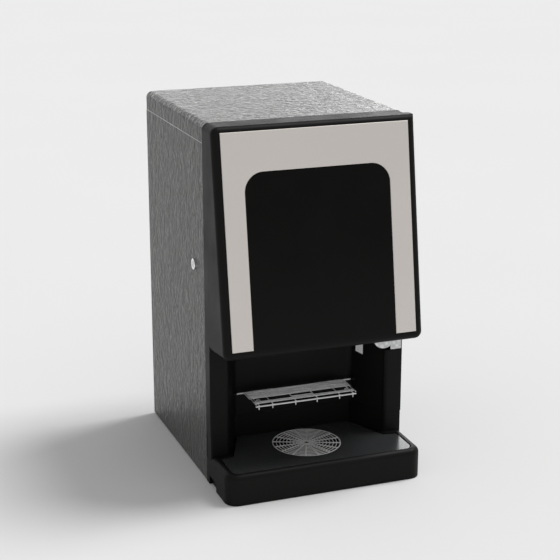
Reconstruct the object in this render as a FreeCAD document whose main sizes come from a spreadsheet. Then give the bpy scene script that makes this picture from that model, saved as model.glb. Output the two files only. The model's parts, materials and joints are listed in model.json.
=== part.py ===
import FreeCAD, Part
import math
import os
import re

import Sketcher

# Hot coffee vending machine, table-top.  Millimetres, +Z up, +Y to the back, front face towards -Y.
# The origin is the middle of the footprint on the floor.  Every y below is counted from the front
# edge of the side panels, and `case_front` carries it into the part's frame.

DIMENSIONS = {
    # outer case
    "case_width": 410, "case_depth": 389, "case_height": 724, "case_front": -131.5,
    "sheet": 1.5, "seam_height": 686, "seam_gap": 0.3, "corner_round": 13, "rear_round": 2.5,
    "foot_height": 4, "foot_radius": 14, "foot_side": 165, "foot_rear": 350, "foot_middle": 25,
    "foot_front": 100, "chassis_height": 22, "fold": 12, "cover_wall": 2, "vent_count": 6,
    "vent_pitch": 12, "vent_width": 5, "vent_length": 90,
    # fixed front frame and pillars
    "frame_depth": 28, "frame_bottom": 281, "window_half": 178, "window_bottom": 312,
    "window_top": 700, "pillar_width": 39, "pillar_outer_round": 3, "pillar_inner_round": 8,
    "pillar_cut": 240, "pillar_skin": 2.5, "collar_top": 105, "joint_gap": 0.6,
    # cup station
    "wall": 3, "mouth_half": 166, "mouth_y": 20, "back_half": 126, "back_y": 60,
    "liner_round": 14, "ceiling": 3, "base_front": 134, "base_top": 63, "base_round": 25, "base_low": 1,
    "rim_round": 12, "base_back": 68, "base_floor": 10,
    # drip tray, its cover and its grid
    "tray_half": 191, "tray_front": 123, "tray_shoulder": 41, "tray_neck_half": 163,
    "tray_neck": 36, "tray_rear_half": 124.5, "tray_rear": 58.5, "tray_corner": 17,
    "tray_gap": 2.0, "tray_wall": 2, "tray_top": 59, "cover_top": 61.6, "grid_y": 20,
    "grid_radius": 69.5, "grid_thick": 1.6, "grid_ledge": 3, "grid_gap": 0.5, "grid_hole": 5,
    "grid_first_ring": 13.5, "grid_ring_pitch": 6.9, "grid_ring_slot": 5.9, "grid_ring_count": 8,
    "grid_rib": 2.4, "grid_rib_count": 16,
    # fold-up wire shelf
    "shelf_z": 156.5, "shelf_y": 50.4, "shelf_half": 108, "shelf_depth": 69.4, "shelf_drop": 4.5,
    "shelf_pivot_half": 130, "wire": 0.95, "front_wire": 1.6, "shelf_pitch": 5.6, "shelf_rows": 6,
    "shelf_stub": 5, "bush_radius": 4.5, "bush_start": 125, "running_fit": 0.06,
    # door
    "door_seam": 0.3, "door_bottom": 292, "door_rear_bottom": 281, "door_bottom_front": 122.2,
    "door_top_front": 56.3,
    "door_wall": 3, "door_corner": 15, "door_edge": 11, "hinge_stile": 19, "hinge_inset": 9,
    "hinge_pin": 3, "hinge_bush": 5, "hinge_bush_length": 12, "upper_tab_z": 691.5,
    "tab_thick": 3, "panel_half": 189.25, "panel_strip": 42.1, "panel_low": 16.4,
    "panel_high": 427.1, "panel_band": 351.1, "panel_corner": 38, "panel_thick": 1.8,
    "glass_gap": 0.8, "glass_low": 17.6, "glass_thick": 1.3, "display_half": 100,
    "display_low": 158, "display_high": 308, "display_depth": 14, "inner_cover": 2,
    # lock and latch
    "lock_y": 62, "lock_z": 435, "lock_radius": 9.5, "lock_flange": 11, "lock_proud": 3.5,
    "lock_length": 18, "plug_radius": 7, "key_slot_width": 2, "key_slot_length": 8,
    "cam_throw": 12, "cam_pin": 2, "cam_slot": 2.6, "latch_x": 176, "latch_plate": 2,
    "latch_low": 350, "latch_high": 655, "hook_reach": 52, "hook_tip": 5, "striker_y": 42,
    "striker_pin": 2.5, "striker_low": 360, "striker_high": 612, "latch_travel": 16.97,
    # equipment behind the door
    "deck_z": 302, "bulkhead_y": 250, "bulkhead_top": 680, "brew_x": 130, "brew_y": 200,
    "chamber_radius": 26, "chamber_bore": 21.05, "chamber_low": 406, "chamber_high": 466,
    "piston_radius": 21, "piston_low": 452, "piston_length": 16, "piston_rod": 6,
    "arm_z": 545, "arm_thick": 6, "motor_radius": 18, "grinder_y": 90, "grinder_radius": 36,
    "grinder_low": 440, "grinder_high": 580, "burr_radius": 24, "burr_z": 545,
    "hopper_low": 584, "hopper_high": 680, "hopper_left": 168, "hopper_right": 60,
    "hopper_front": 10, "hopper_back": 170, "lid_skirt": 7, "bin_left": 168, "bin_right": 95,
    "bin_front": 10, "bin_back": 140, "bin_top": 385, "canister_left": 40, "canister_right": 170,
    "canister_front": 70, "canister_back": 235, "canister_low": 470, "canister_top": 655,
    "auger_x": 105, "auger_z": 490, "auger_radius": 12, "auger_tube": 15, "auger_shaft": 3,
    "auger_pitch": 18, "nozzle_front": 36, "bowl_radius": 30, "bowl_y": 48, "bowl_low": 385,
    "bowl_high": 440, "whip_z": 400, "whip_radius": 18,
    # water and power at the bottom and the back
    "boiler_x": 90, "boiler_y": 190, "boiler_radius": 55, "boiler_low": 45, "boiler_high": 275,
    "boiler_dome": 25, "pump_y": 300, "pump_z": 62, "pump_radius": 28, "valve_x": 30,
    "valve_z": 60, "thread_radius": 13.2, "thread_length": 10, "socket_x": 140, "socket_z": 60,
    "fan_x": 120, "fan_z": 630, "fan_half": 40, "fan_depth": 25, "fan_bore": 37,
    "blade_radius": 35, "blade_count": 7, "spout_y": 15, "spout_low": 263, "hose_radius": 5,
    "hose_bore": 3.5, "screw_head": 3.6,
}

doc = FreeCAD.newDocument("coffee_machine")
sheet = doc.addObject("Spreadsheet::Sheet", "dims")
for row, (alias, number) in enumerate(DIMENSIONS.items(), start=1):
    sheet.set(f"A{row}", alias)
    sheet.set(f"B{row}", str(number))
    sheet.setAlias(f"B{row}", alias)
doc.recompute()

nodes = []


# ---------------------------------------------------------------- helpers

def linked(expression):
    """The expression with every dimension's name pointed at the sheet."""
    def point(match):
        word = match.group()
        return "dims." + word if word in DIMENSIONS else word
    return re.sub(r"[a-z_]+", point, str(expression))


def value(expression):
    """The number that an expression stands for now."""
    result = sheet.evalExpression(linked(expression))
    return float(getattr(result, "Value", result))


def minus(expression):
    return f"-({expression})"


def place(thing, at):
    """Puts a thing at a point whose y is counted from the case's front edge."""
    thing.setExpression("Placement.Base.x", linked(at[0]))
    thing.setExpression("Placement.Base.y", linked(f"case_front + ({at[1]})"))
    thing.setExpression("Placement.Base.z", linked(at[2]))


def box(x, y, z):
    """A block between two planes in each direction."""
    solid = doc.addObject("Part::Box", "block")
    for side, (low, high) in zip(("Length", "Width", "Height"), (x, y, z)):
        solid.setExpression(side, linked(f"({high}) - ({low})"))
    place(solid, (x[0], y[0], z[0]))
    return solid


TURNS = {
    "x": FreeCAD.Rotation(FreeCAD.Vector(0, 1, 0), 90),
    "y": FreeCAD.Rotation(FreeCAD.Vector(1, 0, 0), -90),
    "z": FreeCAD.Rotation(),
}


def rod(radius, axis, start, length):
    """A round bar that starts at a point and runs along +axis."""
    solid = doc.addObject("Part::Cylinder", "rod")
    solid.Placement = FreeCAD.Placement(FreeCAD.Vector(), TURNS[axis])
    solid.setExpression("Radius", linked(radius))
    solid.setExpression("Height", linked(length))
    place(solid, start)
    return solid


def cone(start_radius, end_radius, axis, start, length):
    solid = doc.addObject("Part::Cone", "taper")
    solid.Placement = FreeCAD.Placement(FreeCAD.Vector(), TURNS[axis])
    solid.setExpression("Radius1", linked(start_radius))
    solid.setExpression("Radius2", linked(end_radius))
    solid.setExpression("Height", linked(length))
    place(solid, start)
    return solid


def ring(radius, wire, axis, centre):
    solid = doc.addObject("Part::Torus", "loop")
    solid.Placement = FreeCAD.Placement(FreeCAD.Vector(), TURNS[axis])
    solid.setExpression("Radius1", linked(radius))
    solid.setExpression("Radius2", linked(wire))
    place(solid, centre)
    return solid


def fused(*parts):
    whole = doc.addObject("Part::MultiFuse", "joined")
    whole.Shapes = list(parts)
    whole.Refine = True
    return whole


def group(*parts):
    """Separate solids that share one node."""
    whole = doc.addObject("Part::Compound", "group")
    whole.Links = list(parts)
    return whole


def cut(base, *tools):
    whole = doc.addObject("Part::Cut", "cut")
    whole.Base = base
    whole.Tool = tools[0] if len(tools) == 1 else fused(*tools)
    return whole


def edges(shape, axis, shift=0.0, **places):
    """Numbers of the straight edges along an axis whose other coordinates are among the places."""
    found = []
    letters = "xyz"
    for number, edge in enumerate(shape.Edges, start=1):
        bounds = edge.BoundBox
        low = (bounds.XMin, bounds.YMin - shift, bounds.ZMin)
        high = (bounds.XMax, bounds.YMax - shift, bounds.ZMax)
        flat = [high[i] - low[i] < 0.01 for i in range(3)]
        if [not f for f in flat] != [letter == axis for letter in letters]:
            continue
        fits = True
        for letter, wanted in places.items():
            here = low[letters.index(letter)]
            fits = fits and any(abs(here - value(one)) < 0.05 for one in wanted)
        if fits:
            found.append(number)
    return found


def rim(shape, direction):
    """Numbers of the edges round the largest flat face that looks along a direction."""
    facing = [
        face for face in shape.Faces
        if face.Surface.TypeId == "Part::GeomPlane"
        and face.normalAt(0, 0).dot(direction) > 0.98
    ]
    outer = max(facing, key=lambda face: face.Area).OuterWire
    return [
        number for number, edge in enumerate(shape.Edges, start=1)
        if any(edge.isSame(other) for other in outer.Edges)
    ]


def rounded(base, radius, pick):
    """Rounds the edges that `pick` finds on a Part object."""
    doc.recompute()
    whole = doc.addObject("Part::Fillet", "rounded")
    whole.Base = base
    size = value(radius)
    whole.Edges = [(number, size, size) for number in pick(base.Shape)]
    return whole


def on_case(axis, **places):
    return lambda shape: edges(shape, axis, value("case_front"), **places)


def body(name):
    return doc.addObject("PartDesign::Body", name)


def outline(owner, plane, points):
    """A closed sketch of straight lines whose corners are bound to the sheet."""
    sketch = owner.newObject("Sketcher::SketchObject", "outline")
    origin = [one for one in owner.Origin.OriginFeatures if one.Role == plane][0]
    sketch.AttachmentSupport = [(origin, "")]
    sketch.MapMode = "FlatFace"
    corners = [FreeCAD.Vector(value(u), value(v), 0) for u, v in points]
    count = len(corners)
    for i, corner in enumerate(corners):
        sketch.addGeometry(Part.LineSegment(corner, corners[(i + 1) % count]), False)
    for i in range(count):
        sketch.addConstraint(Sketcher.Constraint("Coincident", i, 2, (i + 1) % count, 1))
    for i, point in enumerate(points):
        for kind, axis, expression in zip(("DistanceX", "DistanceY"), (-2, -1), point):
            number = value(expression)
            if abs(number) < 1e-9:
                sketch.addConstraint(Sketcher.Constraint("PointOnObject", i, 1, axis))
                continue
            made = sketch.addConstraint(Sketcher.Constraint(kind, -1, 1, i, 1, number))
            sketch.setExpression(f"Constraints[{made}]", linked(expression))
    return sketch


def pad(owner, plane, points, length, both_sides=False, backwards=False):
    feature = owner.newObject("PartDesign::Pad", "pad")
    feature.Profile = outline(owner, plane, points)
    feature.setExpression("Length", linked(length))
    if both_sides:
        feature.SideType = "Symmetric"
    feature.Reversed = backwards
    owner.Tip = feature
    doc.recompute()
    return feature


def soften(owner, radius, pick, kind="PartDesign::Fillet", size="Radius"):
    """A fillet, or another edge feature, on a body's last feature."""
    doc.recompute()
    base = owner.Tip
    feature = owner.newObject(kind, "edge")
    feature.Base = (base, [f"Edge{number}" for number in pick(base.Shape)])
    feature.setExpression(size, linked(radius))
    owner.Tip = feature
    doc.recompute()
    return feature


def upright(label, points, low, high, round_size=None, pick=None):
    """A flat outline seen from above, raised between two heights."""
    owner = body(label)
    pad(owner, "XY_Plane", points, f"({high}) - ({low})")
    if round_size is not None:
        soften(owner, round_size, pick)
    place(owner, (0, 0, low))
    return owner


def node(label, thing):
    """Names a finished sub-part; its label is its file's name."""
    thing.Label = label
    nodes.append(thing)
    return thing


# ---------------------------------------------------------------- case

HALF = "case_width / 2"
FRAME_BACK = "-frame_depth"


def base_chassis():
    inner = "case_width / 2 - sheet - 0.2"
    outer = box((minus(inner), inner), (1, "case_depth - 5"), ("foot_height", "chassis_height"))
    wall = f"{inner} - sheet"
    hollow = box(
        (minus(wall), wall), ("1 + sheet", "case_depth - 5 - sheet"),
        ("foot_height + sheet", "chassis_height + 1"),
    )
    relief = box(
        ("-foot_side - 45", "foot_side + 45"), (0, "base_back + 2"),
        ("base_floor - 1", "chassis_height + 2"),
    )
    node("base_chassis", cut(outer, hollow, relief))


def feet():
    heights = {"foot_rear": "foot_height", "foot_middle": "foot_height", "-foot_front": "base_floor"}
    pads = [
        rod("foot_radius", "z", (f"{side} * foot_side", y, 0), height)
        for y, height in heights.items() for side in (-1, 1)
    ]
    node("feet", group(*pads))


def side_panel(side):
    outer, inner = f"{side} * ({HALF})", f"{side} * ({HALF} - sheet)"
    folded = f"{side} * ({HALF} - fold)"

    def span(a, b):
        return (a, b) if side > 0 else (b, a)

    skin = box(span(inner, outer), (0, "case_depth"), ("foot_height - 1", "seam_height"))
    front = box(
        span(folded, inner), (0, "sheet"), ("collar_top", "seam_height - 8"),
    )
    back = box(
        span(folded, inner), ("case_depth - sheet", "case_depth"),
        ("foot_height", "seam_height - 1"),
    )
    skin = rounded(skin, 1.2, on_case("y", x=(outer,), z=("seam_height",)))
    return fused(skin, front, back)


def side_panels():
    lock_hole = rod("lock_radius", "x", (f"-({HALF}) - 1", "lock_y", "lock_z"), "sheet + 2")
    node("left_side_panel", cut(side_panel(-1), lock_hole))
    node("right_side_panel", side_panel(1))


def rear_panel():
    plane = "case_depth - 2 * sheet - 0.1"
    half = f"{HALF} - sheet - 0.3"
    skin = box(
        (minus(half), half), (plane, f"{plane} + sheet"), ("chassis_height + 0.4", "seam_height - 1"),
    )
    through = (f"{plane} - 5", f"{plane} + 5")
    vents = [
        box(
            ("-fan_x - vent_length / 2", "-fan_x + vent_length / 2"), through,
            (
                f"fan_z + ({i} - vent_count / 2) * vent_pitch",
                f"fan_z + ({i} - vent_count / 2) * vent_pitch + vent_width",
            ),
        )
        for i in range(int(value("vent_count")))
    ]
    low_vents = [
        box(
            (f"{middle} - vent_length / 2", f"{middle} + vent_length / 2"), through,
            (f"150 + {i} * vent_pitch", f"150 + {i} * vent_pitch + vent_width"),
        )
        for middle in (-100, 100) for i in range(4)
    ]
    inlet = rod("thread_radius + 0.4", "y", ("valve_x", f"{plane} - 5", "valve_z"), 10)
    socket = box(("socket_x - 36", "socket_x + 26"), through, ("socket_z - 14.5", "socket_z + 14.5"))
    node("rear_panel", cut(skin, *vents, *low_vents, inlet, socket))


def top_cover():
    base = "seam_height + seam_gap"
    outer = box((minus(HALF), HALF), (0.3, "case_depth"), (base, "case_height"))
    soft = rounded(outer, "corner_round", on_case("y", x=(minus(HALF), HALF), z=("case_height",)))
    soft = rounded(soft, "rear_round", on_case("x", y=("case_depth",), z=("case_height",)))
    wall = f"{HALF} - cover_wall"
    hollow = box(
        (minus(wall), wall), ("cover_wall", "case_depth - cover_wall"),
        (f"{base} - 1", "case_height - cover_wall"),
    )
    inside = rounded(
        hollow, "corner_round - cover_wall",
        on_case("y", x=(minus(wall), wall), z=("case_height - cover_wall",)),
    )
    dimple = rod(2, "z", (186, 286, "case_height - 1"), 2)
    node("top_cover", cut(soft, inside, dimple))


def front_frame():
    outer = box((minus(HALF), HALF), (FRAME_BACK, 0), ("frame_bottom", "case_height"))
    soft = rounded(outer, "door_corner", on_case("y", x=(minus(HALF), HALF), z=("case_height",)))
    window = box(
        ("-window_half", "window_half"), ("-frame_depth - 1", 1), ("window_bottom", "window_top"),
    )
    window = rounded(window, 10, on_case(
        "y", x=("-window_half", "window_half"), z=("window_bottom", "window_top")))
    tab_slot = box(
        (f"{HALF} - 2 * hinge_inset", f"{HALF} + 1"), ("-frame_depth - 1", "-frame_depth / 2"),
        ("upper_tab_z", "upper_tab_z + tab_thick"),
    )
    node("front_frame", cut(soft, window, tab_slot))


def pillar(side, low, high, inset=0):
    """A post with a softly rounded inner edge that runs on into the cup station's wall."""
    outer = f"{side} * ({HALF} - ({inset}))"
    inner = f"{side} * ({HALF} - pillar_width)"
    x = (inner, outer) if side > 0 else (outer, inner)
    front = f"-frame_depth + ({inset})"
    block = box(x, (front, 0), (low, high))
    block = rounded(block, "pillar_outer_round", on_case("z", x=(outer,), y=(front,)))
    return rounded(block, f"pillar_inner_round - ({inset})", on_case("z", x=(inner,), y=(front,)))


def wall_room(low, high):
    """The space that the cup station's wall takes, with a little clearance."""
    points = [
        ("-mouth_half - wall - 1.1", "-mouth_y"), ("-back_half - wall - 0.3", "back_y + wall"),
        ("back_half + wall + 0.3", "back_y + wall"), ("mouth_half + wall + 1.1", "-mouth_y"),
    ]
    return upright("wall_room", points, low, high)


def pillars():
    low = "collar_top + joint_gap"
    room = wall_room("collar_top", "frame_bottom + 1")
    node("left_pillar", cut(pillar(-1, low, "frame_bottom"), room))
    stump = pillar(1, low, "pillar_cut")
    skin = box(
        (f"{HALF} - pillar_skin", HALF), ("-frame_depth + pillar_outer_round", 0),
        ("pillar_cut - 1", "frame_bottom"),
    )
    back = box(
        (f"{HALF} - pillar_width", HALF), (-6, 0), ("pillar_cut - 1", "frame_bottom"),
    )
    node("right_pillar", cut(fused(stump, skin, back), room))


def station_wall(label, low, high):
    """The splayed wall round the cup station, seen from above as a wide U."""
    points = [
        ("-mouth_half", "-mouth_y"), ("-back_half", "back_y"), ("back_half", "back_y"),
        ("mouth_half", "-mouth_y"), ("mouth_half + wall + 0.8", "-mouth_y"),
        ("back_half + wall", "back_y + wall"), ("-back_half - wall", "back_y + wall"),
        ("-mouth_half - wall - 0.8", "-mouth_y"),
    ]
    owner = upright(
        label, points, low, high, "liner_round",
        lambda shape: edges(shape, "z", x=("-back_half", "back_half"), y=("back_y",)),
    )
    soften(owner, "liner_round + wall", lambda shape: edges(
        shape, "z", x=("-back_half - wall", "back_half + wall"), y=("back_y + wall",)))
    return owner


def station_plate(label, low, high):
    """The plate that closes the cup station's plan."""
    points = [
        ("-mouth_half", "-mouth_y"), ("-back_half", "back_y"), ("back_half", "back_y"),
        ("mouth_half", "-mouth_y"),
    ]
    return upright(label, points, low, high)


def lamp_block(label, inset):
    """A block across the right-hand wall with the lamp window's four-sided outline."""
    owner = body(label)
    pad(owner, "YZ_Plane", [
        (f"28 + {inset}", f"215.8 + {inset}"), (f"45.5 - {inset}", f"218.8 + {inset}"),
        (f"45.5 - {inset}", f"234 - {inset}"), (f"28 + {inset}", f"241.5 - {inset}"),
    ], 32)
    place(owner, (128, 0, 0))
    return owner


def cup_station_liner():
    low = "collar_top + joint_gap"
    walls = station_wall("liner_walls", low, "frame_bottom")
    ceiling = station_plate("liner_ceiling", "frame_bottom - ceiling", "frame_bottom")
    hose_holes = [
        rod("hose_radius + 1", "z", (x, "spout_y", "frame_bottom - ceiling - 1"), "ceiling + 2")
        for x in (-9, 9)
    ]
    bush_holes = rod(
        "bush_radius", "x", (-160, "shelf_y", "shelf_z"), 320,
    )
    shell = fused(walls, ceiling)
    node("cup_station_liner", cut(shell, *hose_holes, bush_holes, lamp_block("window", 0)))
    pane = lamp_block("pane", 0.3)
    lens_outer = station_wall("lens_shape", 210, 250)
    lens = doc.addObject("Part::Common", "lens")
    lens.Base = pane
    lens.Tool = lens_outer
    node("cup_light_window", lens)


def tray_outline(inset):
    """Half of the tray's plan, then its mirror: wide at the front, narrow between the pillars."""
    right = [
        (f"tray_half - ({inset})", f"-tray_front + ({inset})"),
        (f"tray_half - ({inset})", f"-tray_shoulder - ({inset})"),
        (f"tray_neck_half - ({inset})", f"-tray_neck - ({inset})"),
        (f"tray_rear_half - ({inset})", f"tray_rear - ({inset})"),
    ]
    return right + [(minus(x), y) for x, y in reversed(right)]


def tray_block(label, inset, low, high):
    return upright(
        label, tray_outline(inset), low, high, "tray_corner",
        lambda shape: edges(
            shape, "z", x=(f"tray_half - ({inset})", f"-tray_half + ({inset})"),
            y=(f"-tray_front + ({inset})",)),
    )


def base_moulding():
    front = box((minus(HALF), HALF), ("-base_front", 0), ("base_low", "base_top"))
    front = rounded(front, "base_round", on_case("z", x=(minus(HALF), HALF), y=("-base_front",)))
    doc.recompute()
    top_loop = rounded(front, "rim_round", lambda shape: [
        number for number in rim(shape, FreeCAD.Vector(0, 0, 1))
        if shape.Edges[number - 1].BoundBox.YMin < value("case_front") - 1
    ])
    rear_half = f"{HALF} - sheet - 1"
    rear = box(
        (minus(rear_half), rear_half), (-1, "base_back"), ("base_floor", "base_top"),
    )
    collars = [pillar(side, "base_top - 20", "collar_top", 0.8) for side in (-1, 1)]
    lower_wall = station_wall("lower_wall", "base_top - 1", "collar_top")
    pocket = tray_block("tray_pocket", 0, "base_floor + wall", "base_top + 5")
    throat = station_plate("throat", "base_top - 4", "collar_top + 5")
    grips = [
        box(x, (-58, -16), (0, 19))
        for x in ((f"-({HALF}) - 1", f"-({HALF}) + 6"), (f"{HALF} - 6", f"{HALF} + 1"))
    ]
    underside = box(
        (f"-({HALF}) + 12", f"{HALF} - 12"), ("-base_front + 12", "base_back - wall"),
        (0, "base_floor"),
    )
    whole = fused(top_loop, rear, *collars, lower_wall)
    node("base_moulding", cut(whole, pocket, throat, underside, *grips))


def drip_tray():
    outer = tray_block("basin_outside", "tray_gap", "base_floor + wall + 0.3", "tray_top")
    inner = tray_block(
        "basin_inside", "tray_gap + tray_wall", "base_floor + wall + 0.3 + tray_wall", "tray_top + 1",
    )
    node("drip_tray", cut(outer, inner))


def tray_cover():
    plate = tray_block("cover_plate", "tray_gap", "tray_top", "cover_top")
    drain = rod("grid_radius - grid_ledge", "z", (0, "-grid_y", "tray_top - 6"), 20)
    seat = rod("grid_radius + grid_gap", "z", (0, "-grid_y", "tray_top - 1"), 10)
    ledge_low = (0, "-grid_y", "cover_top - grid_thick - 1.2")
    ledge = cut(rod("grid_radius + grid_gap + 2", "z", ledge_low, 1.5), drain)
    sleeve = cut(rod("grid_radius + grid_gap + 2", "z", ledge_low, 2), seat)
    node("tray_cover", fused(cut(plate, seat), ledge, sleeve))


def drip_grid():
    low = "cover_top - grid_thick + 0.4"
    disc = rod("grid_radius", "z", (0, "-grid_y", low), "grid_thick")
    disc = rounded(disc, 0.5, lambda shape: [
        number for number, edge in enumerate(shape.Edges, start=1)
        if edge.Curve.TypeId == "Part::GeomCircle" and edge.BoundBox.ZMin > value(low) + 0.1
    ])
    rings = []
    for i in range(int(value("grid_ring_count"))):
        inner = f"grid_first_ring + {i} * grid_ring_pitch"
        start = (0, "-grid_y", f"{low} - 1")
        rings.append(cut(
            rod(f"{inner} + grid_ring_slot", "z", start, "grid_thick + 2"),
            rod(inner, "z", start, "grid_thick + 2"),
        ))
    ribs = []
    lines = int(value("grid_rib_count")) // 2
    for i in range(lines):
        bar = doc.addObject("Part::Box", "rib")
        bar.setExpression("Length", linked("2 * grid_radius"))
        bar.setExpression("Width", linked("grid_rib"))
        bar.setExpression("Height", linked("grid_thick + 2"))
        turn = FreeCAD.Rotation(FreeCAD.Vector(0, 0, 1), 180 * i / lines)
        corner = turn.multVec(FreeCAD.Vector(-value("grid_radius"), -value("grid_rib") / 2, 0))
        bar.Placement = FreeCAD.Placement(FreeCAD.Vector(), turn)
        place(bar, (corner.x, f"-grid_y + ({corner.y})", f"{low} - 1"))
        ribs.append(bar)
    slots = cut(fused(*rings), *ribs)
    hole = rod("grid_hole", "z", (0, "-grid_y", f"{low} - 1"), "grid_thick + 2")
    node("drip_grid", cut(disc, slots, hole))


# ---------------------------------------------------------------- fold-up shelf

def cup_shelf():
    rear_y, front_y = "shelf_y", "shelf_y - shelf_depth"
    long_start = "-shelf_half"
    level = "shelf_z - 1.7 * wire"
    rods = [rod(
        "front_wire", "x", ("-shelf_pivot_half", rear_y, "shelf_z"), "2 * shelf_pivot_half",
    )]
    for i in range(int(value("shelf_rows"))):
        y = f"{rear_y} - 6 - {i} * shelf_pitch"
        rods.append(rod("wire", "x", (f"{long_start} - 2", y, "shelf_z"), "2 * shelf_half + 4"))
    for i in range(3):
        y = f"{front_y} + 6 + {i} * 4"
        rods.append(rod("wire", "x", (long_start, y, "shelf_z"), "2 * shelf_half"))
    rods.append(rod(
        "front_wire", "x", ("-shelf_half", front_y, "shelf_z - shelf_drop"), "2 * shelf_half",
    ))
    for middle in (23, 72, 101):
        for side in (-1, 1):
            x = f"{side} * {middle}"
            rods.append(rod(
                "wire", "y", (x, front_y, level), "shelf_depth",
            ))
            rods.append(rod(
                "wire", "z", (x, front_y, "shelf_z - shelf_drop - front_wire - shelf_stub"),
                "shelf_stub + front_wire + shelf_drop - 1.7 * wire",
            ))
    for side in (-1, 1):
        rods.append(
            rod("wire", "y", (f"{side} * (shelf_half - wire)", front_y, "shelf_z"), "shelf_depth"),
        )
        rods.append(ring(4.5, "wire", "z", (f"{side} * 96", f"{front_y} + 19", "shelf_z")))
        start, end = ("-shelf_half + 8", 52) if side < 0 else ("shelf_half - 60", 52)
        for y in (f"{rear_y} - 5", f"{rear_y} - 13"):
            rods.append(rod("wire", "x", (start, y, "shelf_z + 3.3 * wire"), end))
        for x in (f"{start} + 8", f"{start} + 44"):
            rods.append(rod("wire", "y", (x, f"{rear_y} - 16", "shelf_z + 1.65 * wire"), 17))
    rods.append(rod("wire", "x", (-23, f"{front_y} + 24", level), 46))
    node("cup_shelf", fused(*rods))
    holes = rod("front_wire + running_fit", "x", (-140, rear_y, "shelf_z"), 280)
    bushes = [
        cut(rod("bush_radius", "x", (x, rear_y, "shelf_z"), 10), holes)
        for x in ("bush_start", "-bush_start - 10")
    ]
    node("shelf_bushes", group(*bushes))


# ---------------------------------------------------------------- door

REAR_OF_DOOR = "-frame_depth - door_seam"
HINGE_X = f"{HALF} - hinge_inset"
HINGE_Y = f"{REAR_OF_DOOR} - hinge_inset"
DOOR_RISE = "(case_height - door_bottom)"
DOOR_LEAN = "(door_bottom_front - door_top_front)"


def door_front(height):
    """y of the door's sloping front face at a height."""
    return f"-door_bottom_front + (({height}) - door_bottom) * {DOOR_LEAN} / {DOOR_RISE}"


def lean(thing, lift):
    """Lays a flat piece on the door's sloping face, `lift` in front of it; its y runs up the slope."""
    tilt = math.atan(value(DOOR_LEAN) / value(DOOR_RISE))
    turn = FreeCAD.Rotation(FreeCAD.Vector(1, 0, 0), 90 - math.degrees(tilt))
    thing.Placement = FreeCAD.Placement(FreeCAD.Vector(), turn)
    slope = f"sqrt({DOOR_RISE} ^ 2 + {DOOR_LEAN} ^ 2)"
    place(thing, (
        0, f"-door_bottom_front - ({lift}) * {DOOR_RISE} / {slope}",
        f"door_bottom + ({lift}) * {DOOR_LEAN} / {slope}",
    ))
    return thing


def slab(label, points, thickness, lift):
    owner = body(label)
    pad(owner, "XY_Plane", points, thickness)
    lean(owner, lift)
    return owner


def rectangle(half, low, high):
    return [(minus(half), low), (half, low), (half, high), (minus(half), high)]


def side_corners(shape):
    """Edges that join the door's sides to its top and to its sloping underside."""
    found = []
    for number, edge in enumerate(shape.Edges, start=1):
        bounds = edge.BoundBox
        along_side = bounds.XLength < 0.01 and bounds.YLength > 20
        if along_side and bounds.ZLength < 20:
            found.append(number)
    return found


def door_shell():
    owner = body("door_outside")
    pad(owner, "YZ_Plane", [
        (REAR_OF_DOOR, "door_rear_bottom"), ("-door_bottom_front", "door_bottom"),
        ("-door_top_front", "case_height"), (REAR_OF_DOOR, "case_height"),
    ], "case_width", both_sides=True)
    soften(owner, "hinge_inset", lambda shape: edges(shape, "z", x=(HALF,), y=(REAR_OF_DOOR,)))
    soften(owner, "door_corner", side_corners)
    rise, lean_by = value(DOOR_RISE), value(DOOR_LEAN)
    outward = FreeCAD.Vector(0, -rise, lean_by).normalize()
    soften(owner, "door_edge", lambda shape: rim(shape, outward))
    place(owner, (0, 0, 0))
    hollow = body("door_inside")
    low, high = "door_bottom + door_wall", "case_height - door_wall"
    pad(hollow, "YZ_Plane", [
        (f"{REAR_OF_DOOR} + 5", "door_rear_bottom + door_wall"),
        (f"{door_front(low)} + door_wall", low),
        (f"{door_front(high)} + door_wall", high), (f"{REAR_OF_DOOR} + 5", high),
    ], "case_width - door_wall - hinge_stile")
    soften(hollow, "door_corner - door_wall", side_corners)
    soften(hollow, "door_edge - door_wall", lambda shape: rim(shape, outward))
    place(hollow, (f"-({HALF}) + door_wall", 0, 0))
    window = slab(
        "display_window", rectangle("display_half + 1", "display_low - 1", "display_high + 1"), 10, -8,
    )
    bush_hole = rod(
        "hinge_bush", "z", (HINGE_X, HINGE_Y, "door_rear_bottom - 1"), "hinge_bush_length + 6",
    )
    pin_hole = rod("hinge_pin", "z", (HINGE_X, HINGE_Y, "upper_tab_z - 12"), "tab_thick + 24")
    notch = box(
        (f"{HINGE_X} - hinge_inset - 0.5", f"{HALF} + 1"),
        (f"{HINGE_Y} - hinge_inset - 1.5", f"{REAR_OF_DOOR} + 1"),
        ("upper_tab_z - 1", "upper_tab_z + tab_thick + 1"),
    )
    node("door_shell", cut(owner, hollow, window, bush_hole, pin_hole, notch))


def door_panel():
    inner = "panel_half - panel_strip"
    left_inner = minus(inner)
    owner = slab("panel", [
        ("-panel_half", "panel_low"), (left_inner, "panel_low"),
        (left_inner, "panel_band"),
        (inner, "panel_band"), (inner, "panel_low"), ("panel_half", "panel_low"),
        ("panel_half", "panel_high"), ("-panel_half", "panel_high"),
    ], "panel_thick", 0)
    soften(owner, "panel_corner", lambda shape: edges(
        shape, "z", x=(inner, minus(inner)), y=("panel_band",)))
    soften(owner, 1.1, lambda shape: rim(shape, FreeCAD.Vector(0, 0, 1)))
    node("door_panel", owner)


def door_screen():
    half = "panel_half - panel_strip - glass_gap"
    top = "panel_band - glass_gap"
    owner = slab("glass", rectangle(half, "glass_low", top), "glass_thick", 0)
    soften(owner, "panel_corner - glass_gap", lambda shape: edges(
        shape, "z", x=(half, minus(half)), y=(top,)))
    soften(owner, 0.4, lambda shape: rim(shape, FreeCAD.Vector(0, 0, 1)))
    node("door_screen", owner)


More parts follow.
